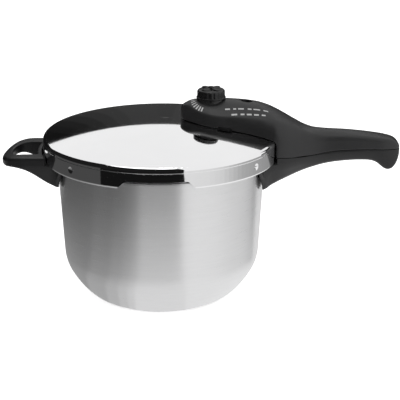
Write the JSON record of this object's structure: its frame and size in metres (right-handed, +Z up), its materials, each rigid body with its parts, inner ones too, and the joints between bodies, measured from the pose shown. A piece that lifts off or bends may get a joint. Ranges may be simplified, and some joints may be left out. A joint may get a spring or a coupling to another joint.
{
  "type": "pressure cooker",
  "caption": "Stainless steel pressure cooker with a bayonet lid, a fluted pressure knob, a long two-part handle and a short helper handle.",
  "frame": {"origin": "centre of the flat base, on the face it stands on", "axes": "+Z up, +X along the long handle"},
  "size_m": [0.4221, 0.2486, 0.2261],
  "materials": {
    "satin_steel": "satin, fine lines round the pot",
    "mirror_steel": "mirror polish",
    "plain_steel": "pressed sheet",
    "base_aluminium": "dull",
    "handle_plastic": "black phenolic, satin",
    "knob_plastic": "black, satin",
    "gasket_rubber": "silicone",
    "valve_brass": "turned",
    "screw_steel": "plated",
    "spring_steel": "drawn wire",
    "pin_aluminium": "turned",
    "white_print": "printed ink"
  },
  "bodies": {
    "pot": {"pot_body": "satin_steel", "base_core": "base_aluminium", "base_cap": "satin_steel", "bayonet_ring": "satin_steel", "pot_bracket": "plain_steel", "helper_bracket": "plain_steel", "pot_handle": "handle_plastic", "helper_handle": "handle_plastic", "pot_handle_screw": "screw_steel", "helper_handle_screw": "screw_steel"},
    "lid": {"lid_shell": "mirror_steel", "lid_gasket": "gasket_rubber", "lid_bracket": "plain_steel", "lid_handle_cover": "handle_plastic", "lid_handle_base": "handle_plastic", "strap_screws": "screw_steel", "cover_screws": "screw_steel", "valve_body": "valve_brass", "valve_washer": "gasket_rubber", "valve_nut": "screw_steel", "valve_spring": "spring_steel", "indicator_bush": "gasket_rubber", "safety_body": "valve_brass", "safety_washer": "gasket_rubber", "safety_nut": "screw_steel", "safety_spring": "spring_steel", "scale_marks": "white_print", "line_marks": "white_print"},
    "knob": {"pressure_knob": "knob_plastic", "knob_insert": "valve_brass"},
    "valve": {"valve_plunger": "plain_steel"},
    "safety": {"safety_plunger": "plain_steel"},
    "indicator": {"indicator_pin": "pin_aluminium", "indicator_seal": "gasket_rubber"}
  },
  "joints": [
    {"name": "lid_turn", "type": "hinge", "parent": "pot", "child": "lid", "pos_m": [0, 0, 0.16], "axis": [0, 0, 1], "range_deg": [0, 45]},
    {"name": "knob_turn", "type": "hinge", "parent": "lid", "child": "knob", "pos_m": [0.053, 0, 0.2], "axis": [0, 0, 1], "range_deg": [-120, 0]},
    {"name": "indicator_rise", "type": "slide", "parent": "lid", "child": "indicator", "axis": [0, 0, 1], "range_m": [0, 0.0043]},
    {"name": "valve_lift", "type": "slide", "parent": "lid", "child": "valve", "axis": [0, 0, 1], "range_m": [0, 0.0015], "stiffness_N_per_m": 400, "springref_m": -0.0025, "deforming": ["valve_spring"]},
    {"name": "safety_lift", "type": "slide", "parent": "lid", "child": "safety", "axis": [0, 0, 1], "range_m": [0, 0.0012], "stiffness_N_per_m": 900, "springref_m": -0.002, "deforming": ["safety_spring"]}
  ]
}
